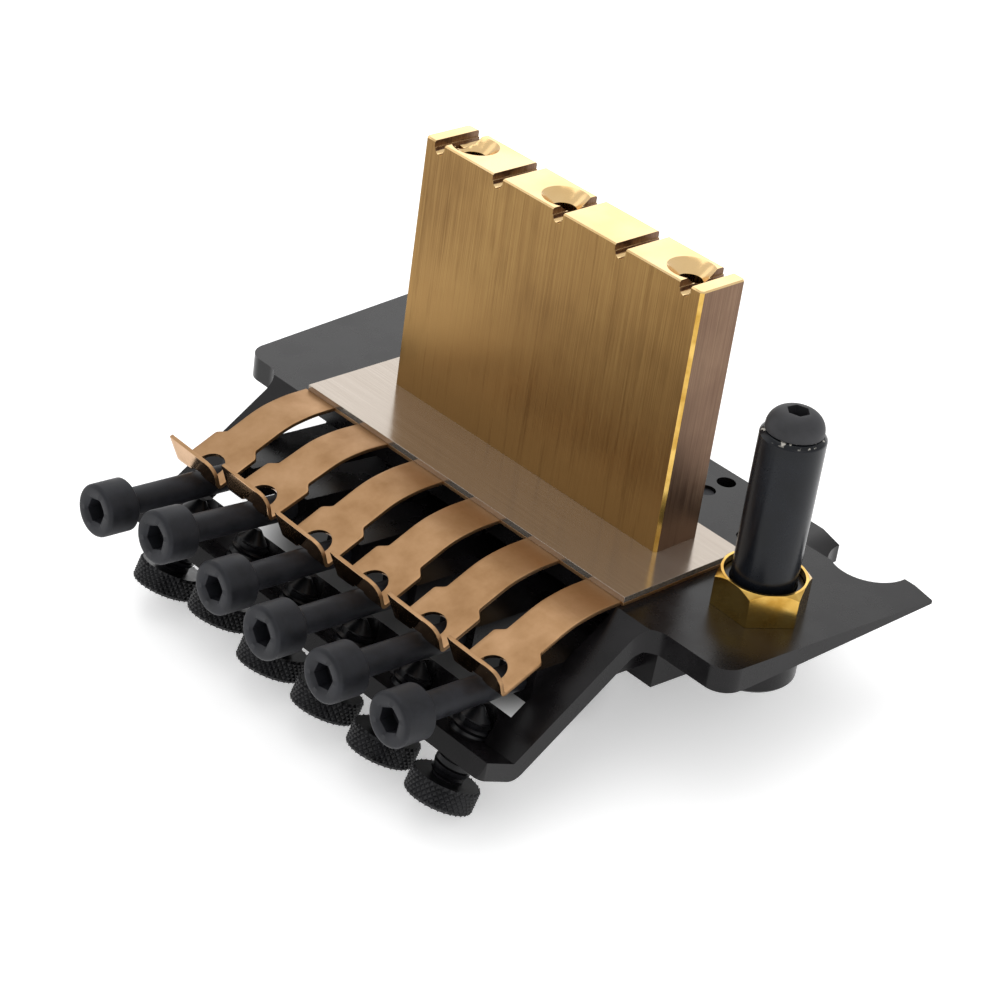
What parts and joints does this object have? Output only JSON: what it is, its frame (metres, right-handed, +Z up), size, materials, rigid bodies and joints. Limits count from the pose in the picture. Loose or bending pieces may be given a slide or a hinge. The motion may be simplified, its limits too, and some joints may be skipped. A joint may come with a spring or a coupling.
{
  "type": "guitar tremolo bridge",
  "caption": "Floating guitar bridge with a brass block, knife-edge plate, string saddles with lock screws, fine tuners and a socket for the arm.",
  "frame": {"origin": "under the middle of the overall box, on the bench that the bridge lies on, string side down", "axes": "+X across the strings to the arm side, +Y to the neck, +Z up from the bench"},
  "size_m": [0.0954, 0.0724, 0.0541],
  "materials": {
    "plate_black": "satin black plated steel",
    "comb_copper": "matte phosphor bronze sheet",
    "shim_steel": "bright brushed steel",
    "block_brass": "sawn and brushed raw brass",
    "nut_brass": "turned brass",
    "holder_black": "semi-gloss black plated steel",
    "screw_black": "black oxide steel",
    "tuner_black": "satin black plated, knurled",
    "saddle_black": "satin black plated steel",
    "pin_steel": "ground steel"
  },
  "bodies": {
    "bridge": {"base_plate": "plate_black", "spring_comb": "comb_copper", "shim_plate": "shim_steel", "sustain_block": "block_brass", "block_screws": "screw_black", "saddle_screws": "screw_black", "arm_bushing": "holder_black", "arm_nut": "nut_brass", "arm_sleeve": "holder_black"},
    "arm_torque_screw": {"arm_torque_screw": "screw_black"},
    "saddle_carriage_1": {"saddle_base_1": "saddle_black", "saddle_pin_1": "pin_steel"},
    "saddle_1": {"saddle_1": "saddle_black"},
    "string_clamp_1": {"string_clamp_1": "pin_steel"},
    "lock_screw_1": {"lock_screw_1": "screw_black"},
    "tuner_screw_1": {"tuner_screw_1": "tuner_black"},
    "tuner_knob_1": {"tuner_knob_1": "tuner_black"},
    "comb_finger_1": {"comb_finger_1": "comb_copper"},
    "saddle_carriage_2": {"saddle_base_2": "saddle_black", "saddle_pin_2": "pin_steel"},
    "saddle_2": {"saddle_2": "saddle_black"},
    "string_clamp_2": {"string_clamp_2": "pin_steel"},
    "lock_screw_2": {"lock_screw_2": "screw_black"},
    "tuner_screw_2": {"tuner_screw_2": "tuner_black"},
    "tuner_knob_2": {"tuner_knob_2": "tuner_black"},
    "comb_finger_2": {"comb_finger_2": "comb_copper"},
    "saddle_carriage_3": {"saddle_base_3": "saddle_black", "saddle_pin_3": "pin_steel"},
    "saddle_3": {"saddle_3": "saddle_black"},
    "string_clamp_3": {"string_clamp_3": "pin_steel"},
    "lock_screw_3": {"lock_screw_3": "screw_black"},
    "tuner_screw_3": {"tuner_screw_3": "tuner_black"},
    "tuner_knob_3": {"tuner_knob_3": "tuner_black"},
    "comb_finger_3": {"comb_finger_3": "comb_copper"},
    "saddle_carriage_4": {"saddle_base_4": "saddle_black", "saddle_pin_4": "pin_steel"},
    "saddle_4": {"saddle_4": "saddle_black"},
    "string_clamp_4": {"string_clamp_4": "pin_steel"},
    "lock_screw_4": {"lock_screw_4": "screw_black"},
    "tuner_screw_4": {"tuner_screw_4": "tuner_black"},
    "tuner_knob_4": {"tuner_knob_4": "tuner_black"},
    "comb_finger_4": {"comb_finger_4": "comb_copper"},
    "saddle_carriage_5": {"saddle_base_5": "saddle_black", "saddle_pin_5": "pin_steel"},
    "saddle_5": {"saddle_5": "saddle_black"},
    "string_clamp_5": {"string_clamp_5": "pin_steel"},
    "lock_screw_5": {"lock_screw_5": "screw_black"},
    "tuner_screw_5": {"tuner_screw_5": "tuner_black"},
    "tuner_knob_5": {"tuner_knob_5": "tuner_black"},
    "comb_finger_5": {"comb_finger_5": "comb_copper"},
    "saddle_carriage_6": {"saddle_base_6": "saddle_black", "saddle_pin_6": "pin_steel"},
    "saddle_6": {"saddle_6": "saddle_black"},
    "string_clamp_6": {"string_clamp_6": "pin_steel"},
    "lock_screw_6": {"lock_screw_6": "screw_black"},
    "tuner_screw_6": {"tuner_screw_6": "tuner_black"},
    "tuner_knob_6": {"tuner_knob_6": "tuner_black"},
    "comb_finger_6": {"comb_finger_6": "comb_copper"}
  },
  "joints": [
    {"name": "arm_torque_turn", "type": "hinge", "parent": "bridge", "child": "arm_torque_screw", "pos_m": [0.03655, 0.01997, 0.04051], "axis": [0, 0.1738, 0.9848], "range_deg": [-360, 360]},
    {"name": "tuner_turn_1", "type": "hinge", "parent": "tuner_screw_1", "child": "tuner_knob_1", "pos_m": [-0.02925, -0.02609, 0.00245], "axis": [0, 0.5448, 0.8386], "range_deg": [-451, 1351]},
    {"name": "tuner_travel_1", "type": "slide", "parent": "bridge", "child": "tuner_screw_1", "axis": [0, 0.5448, 0.8386], "range_m": [-0.001, 0.003]},
    {"name": "intonation_1", "type": "slide", "parent": "bridge", "child": "saddle_carriage_1", "axis": [0, 0.9848, -0.1738], "range_m": [-0.002, 0.002]},
    {"name": "saddle_tilt_1", "type": "hinge", "parent": "saddle_carriage_1", "child": "saddle_1", "pos_m": [-0.02925, 0.01987, 0.00976], "axis": [-1, 0, 0], "range_deg": [-1.42, 4.23]},
    {"name": "finger_flex_1", "type": "hinge", "parent": "bridge", "child": "comb_finger_1", "pos_m": [-0.02925, 0.00097, 0.01944], "axis": [-1, 0, 0], "range_deg": [-2.86, 8.57]},
    {"name": "lock_turn_1", "type": "hinge", "parent": "string_clamp_1", "child": "lock_screw_1", "pos_m": [-0.02925, 0.00911, 0.00888], "axis": [0, 0.9717, -0.2362], "range_deg": [-1, 1261]},
    {"name": "clamp_travel_1", "type": "slide", "parent": "saddle_1", "child": "string_clamp_1", "axis": [0, 0.9717, -0.2362], "range_m": [0, 0.00245]},
    {"name": "tuner_turn_2", "type": "hinge", "parent": "tuner_screw_2", "child": "tuner_knob_2", "pos_m": [-0.01845, -0.02543, 0.00346], "axis": [0, 0.5448, 0.8386], "range_deg": [-991, 811]},
    {"name": "tuner_travel_2", "type": "slide", "parent": "bridge", "child": "tuner_screw_2", "axis": [0, 0.5448, 0.8386], "range_m": [-0.0022, 0.0018]},
    {"name": "intonation_2", "type": "slide", "parent": "bridge", "child": "saddle_carriage_2", "axis": [0, 0.9848, -0.1738], "range_m": [-0.002, 0.002]},
    {"name": "saddle_tilt_2", "type": "hinge", "parent": "saddle_carriage_2", "child": "saddle_2", "pos_m": [-0.01845, 0.01987, 0.00976], "axis": [-1, 0, 0], "range_deg": [-3.1, 2.54]},
    {"name": "finger_flex_2", "type": "hinge", "parent": "bridge", "child": "comb_finger_2", "pos_m": [-0.01845, 0.00097, 0.01944], "axis": [-1, 0, 0], "range_deg": [-6.29, 5.15]},
    {"name": "lock_turn_2", "type": "hinge", "parent": "string_clamp_2", "child": "lock_screw_2", "pos_m": [-0.01845, 0.01005, 0.00893], "axis": [0, 0.9643, -0.2647], "range_deg": [-515.29, 746.71]},
    {"name": "clamp_travel_2", "type": "slide", "parent": "saddle_2", "child": "string_clamp_2", "axis": [0, 0.9643, -0.2647], "range_m": [-0.001, 0.00145]},
    {"name": "tuner_turn_3", "type": "hinge", "parent": "tuner_screw_3", "child": "tuner_knob_3", "pos_m": [-0.00765, -0.02609, 0.00245], "axis": [0, 0.5448, 0.8386], "range_deg": [-451, 1351]},
    {"name": "tuner_travel_3", "type": "slide", "parent": "bridge", "child": "tuner_screw_3", "axis": [0, 0.5448, 0.8386], "range_m": [-0.001, 0.003]},
    {"name": "intonation_3", "type": "slide", "parent": "bridge", "child": "saddle_carriage_3", "axis": [0, 0.9848, -0.1738], "range_m": [-0.002, 0.002]},
    {"name": "saddle_tilt_3", "type": "hinge", "parent": "saddle_carriage_3", "child": "saddle_3", "pos_m": [-0.00765, 0.01987, 0.00976], "axis": [-1, 0, 0], "range_deg": [-1.42, 4.23]},
    {"name": "finger_flex_3", "type": "hinge", "parent": "bridge", "child": "comb_finger_3", "pos_m": [-0.00765, 0.00097, 0.01944], "axis": [-1, 0, 0], "range_deg": [-2.86, 8.57]},
    {"name": "lock_turn_3", "type": "hinge", "parent": "string_clamp_3", "child": "lock_screw_3", "pos_m": [-0.00765, 0.01096, 0.00843], "axis": [0, 0.9717, -0.2362], "range_deg": [-978.14, 283.86]},
    {"name": "clamp_travel_3", "type": "slide", "parent": "saddle_3", "child": "string_clamp_3", "axis": [0, 0.9717, -0.2362], "range_m": [-0.0019, 0.00055]},
    {"name": "tuner_turn_4", "type": "hinge", "parent": "tuner_screw_4", "child": "tuner_knob_4", "pos_m": [0.00315, -0.02609, 0.00245], "axis": [0, 0.5448, 0.8386], "range_deg": [-451, 1351]},
    {"name": "tuner_travel_4", "type": "slide", "parent": "bridge", "child": "tuner_screw_4", "axis": [0, 0.5448, 0.8386], "range_m": [-0.001, 0.003]},
    {"name": "intonation_4", "type": "slide", "parent": "bridge", "child": "saddle_carriage_4", "axis": [0, 0.9848, -0.1738], "range_m": [-0.002, 0.002]},
    {"name": "saddle_tilt_4", "type": "hinge", "parent": "saddle_carriage_4", "child": "saddle_4", "pos_m": [0.00315, 0.01987, 0.00976], "axis": [-1, 0, 0], "range_deg": [-1.42, 4.23]},
    {"name": "finger_flex_4", "type": "hinge", "parent": "bridge", "child": "comb_finger_4", "pos_m": [0.00315, 0.00097, 0.01944], "axis": [-1, 0, 0], "range_deg": [-2.86, 8.57]},
    {"name": "lock_turn_4", "type": "hinge", "parent": "string_clamp_4", "child": "lock_screw_4", "pos_m": [0.00315, 0.00979, 0.00871], "axis": [0, 0.9717, -0.2362], "range_deg": [-361, 901]},
    {"name": "clamp_travel_4", "type": "slide", "parent": "saddle_4", "child": "string_clamp_4", "axis": [0, 0.9717, -0.2362], "range_m": [-0.0007, 0.00175]},
    {"name": "tuner_turn_5", "type": "hinge", "parent": "tuner_screw_5", "child": "tuner_knob_5", "pos_m": [0.01395, -0.02609, 0.00245], "axis": [0, 0.5448, 0.8386], "range_deg": [-451, 1351]},
    {"name": "tuner_travel_5", "type": "slide", "parent": "bridge", "child": "tuner_screw_5", "axis": [0, 0.5448, 0.8386], "range_m": [-0.001, 0.003]},
    {"name": "intonation_5", "type": "slide", "parent": "bridge", "child": "saddle_carriage_5", "axis": [0, 0.9848, -0.1738], "range_m": [-0.002, 0.002]},
    {"name": "saddle_tilt_5", "type": "hinge", "parent": "saddle_carriage_5", "child": "saddle_5", "pos_m": [0.01395, 0.01987, 0.00976], "axis": [-1, 0, 0], "range_deg": [-1.42, 4.23]},
    {"name": "finger_flex_5", "type": "hinge", "parent": "bridge", "child": "comb_finger_5", "pos_m": [0.01395, 0.00097, 0.01944], "axis": [-1, 0, 0], "range_deg": [-2.86, 8.57]},
    {"name": "lock_turn_5", "type": "hinge", "parent": "string_clamp_5", "child": "lock_screw_5", "pos_m": [0.01395, 0.01037, 0.00857], "axis": [0, 0.9717, -0.2362], "range_deg": [-669.57, 592.43]},
    {"name": "clamp_travel_5", "type": "slide", "parent": "saddle_5", "child": "string_clamp_5", "axis": [0, 0.9717, -0.2362], "range_m": [-0.0013, 0.00115]},
    {"name": "tuner_turn_6", "type": "hinge", "parent": "tuner_screw_6", "child": "tuner_knob_6", "pos_m": [0.02475, -0.02609, 0.00245], "axis": [0, 0.5448, 0.8386], "range_deg": [-451, 1351]},
    {"name": "tuner_travel_6", "type": "slide", "parent": "bridge", "child": "tuner_screw_6", "axis": [0, 0.5448, 0.8386], "range_m": [-0.001, 0.003]},
    {"name": "intonation_6", "type": "slide", "parent": "bridge", "child": "saddle_carriage_6", "axis": [0, 0.9848, -0.1738], "range_m": [-0.002, 0.002]},
    {"name": "saddle_tilt_6", "type": "hinge", "parent": "saddle_carriage_6", "child": "saddle_6", "pos_m": [0.02475, 0.01987, 0.00976], "axis": [-1, 0, 0], "range_deg": [-1.42, 4.23]},
    {"name": "finger_flex_6", "type": "hinge", "parent": "bridge", "child": "comb_finger_6", "pos_m": [0.02475, 0.00097, 0.01944], "axis": [-1, 0, 0], "range_deg": [-2.86, 8.57]},
    {"name": "lock_turn_6", "type": "hinge", "parent": "string_clamp_6", "child": "lock_screw_6", "pos_m": [0.02475, 0.01125, 0.00836], "axis": [0, 0.9717, -0.2362], "range_deg": [-1132.43, 129.57]},
    {"name": "clamp_travel_6", "type": "slide", "parent": "saddle_6", "child": "string_clamp_6", "axis": [0, 0.9717, -0.2362], "range_m": [-0.0022, 0.00025]}
  ],
  "couplings": [
    {"joint": "tuner_turn_1", "follows": "tuner_travel_1", "rad_per_m": 7854},
    {"joint": "saddle_tilt_1", "follows": "tuner_travel_1", "rad_per_m": 24.536},
    {"joint": "finger_flex_1", "follows": "tuner_travel_1", "rad_per_m": 49.819},
    {"joint": "lock_turn_1", "follows": "clamp_travel_1", "rad_per_m": 8976},
    {"joint": "tuner_turn_2", "follows": "tuner_travel_2", "rad_per_m": 7854},
    {"joint": "saddle_tilt_2", "follows": "tuner_travel_2", "rad_per_m": 24.536},
    {"joint": "finger_flex_2", "follows": "tuner_travel_2", "rad_per_m": 49.819},
    {"joint": "lock_turn_2", "follows": "clamp_travel_2", "rad_per_m": 8976},
    {"joint": "tuner_turn_3", "follows": "tuner_travel_3", "rad_per_m": 7854},
    {"joint": "saddle_tilt_3", "follows": "tuner_travel_3", "rad_per_m": 24.536},
    {"joint": "finger_flex_3", "follows": "tuner_travel_3", "rad_per_m": 49.819},
    {"joint": "lock_turn_3", "follows": "clamp_travel_3", "rad_per_m": 8976},
    {"joint": "tuner_turn_4", "follows": "tuner_travel_4", "rad_per_m": 7854},
    {"joint": "saddle_tilt_4", "follows": "tuner_travel_4", "rad_per_m": 24.536},
    {"joint": "finger_flex_4", "follows": "tuner_travel_4", "rad_per_m": 49.819},
    {"joint": "lock_turn_4", "follows": "clamp_travel_4", "rad_per_m": 8976},
    {"joint": "tuner_turn_5", "follows": "tuner_travel_5", "rad_per_m": 7854},
    {"joint": "saddle_tilt_5", "follows": "tuner_travel_5", "rad_per_m": 24.536},
    {"joint": "finger_flex_5", "follows": "tuner_travel_5", "rad_per_m": 49.819},
    {"joint": "lock_turn_5", "follows": "clamp_travel_5", "rad_per_m": 8976},
    {"joint": "tuner_turn_6", "follows": "tuner_travel_6", "rad_per_m": 7854},
    {"joint": "saddle_tilt_6", "follows": "tuner_travel_6", "rad_per_m": 24.536},
    {"joint": "finger_flex_6", "follows": "tuner_travel_6", "rad_per_m": 49.819},
    {"joint": "lock_turn_6", "follows": "clamp_travel_6", "rad_per_m": 8976}
  ]
}
